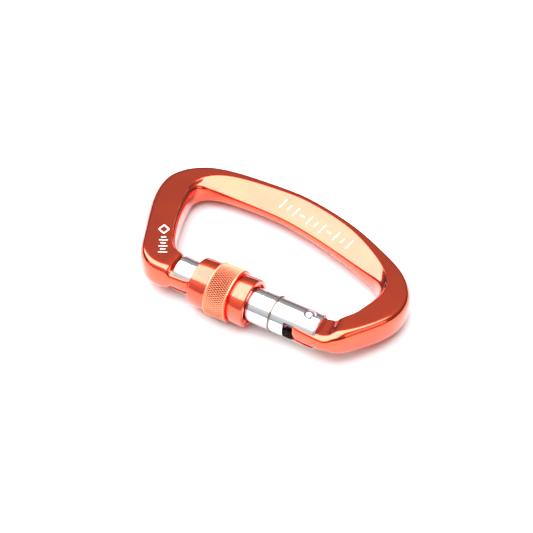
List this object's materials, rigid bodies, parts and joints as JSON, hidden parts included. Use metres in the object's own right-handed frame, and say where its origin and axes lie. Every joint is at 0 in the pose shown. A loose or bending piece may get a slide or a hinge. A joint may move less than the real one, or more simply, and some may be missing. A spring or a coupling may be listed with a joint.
{
  "type": "screw-lock carabiner",
  "caption": "Asymmetric D-shaped aluminium carabiner with a tubular swinging gate, hinge rivet, and a knurled screw sleeve that locks the gate.",
  "frame": {"origin": "centre of the bounding box, with the gate closed and the sleeve at its rest place; the frame's forging plane is z = 0", "axes": "+X along the closed gate from its nose to its hinge rivet; +Y from the gate to the frame's spine; +Z normal to the forging plane"},
  "size_m": [0.1032, 0.0634, 0.0184],
  "materials": {
    "anodised": "bright orange anodised, glossy",
    "anodised_sleeve": "bright orange anodised, knurled grip",
    "polished": "polished bare metal",
    "steel": "plain bright steel"
  },
  "bodies": {
    "frame": {"frame": "anodised"},
    "gate": {"gate_tube": "polished", "hinge_rivet": "steel", "latch_pin": "steel", "stop_ring": "steel", "return_spring": "steel"},
    "sleeve": {"lock_sleeve": "anodised_sleeve"},
    "plunger": {"plunger": "steel"}
  },
  "joints": [
    {"name": "gate_hinge", "type": "hinge", "parent": "frame", "child": "gate", "pos_m": [0.0273, -0.02251, 0], "axis": [0, 0, -1], "range_deg": [0, 24], "stiffness_Nm_per_rad": 0.5},
    {"name": "sleeve_travel", "type": "slide", "parent": "gate", "child": "sleeve", "axis": [1, 0, 0], "range_m": [-0.0068, 0.0082]},
    {"name": "plunger_slide", "type": "slide", "parent": "gate", "child": "plunger", "axis": [-1, 0, 0], "range_m": [0, 0.0012], "deforming": ["return_spring"]}
  ],
  "couplings": [
    {"joint": "plunger_slide", "follows": "gate_hinge", "m_per_rad": 0.0026}
  ]
}
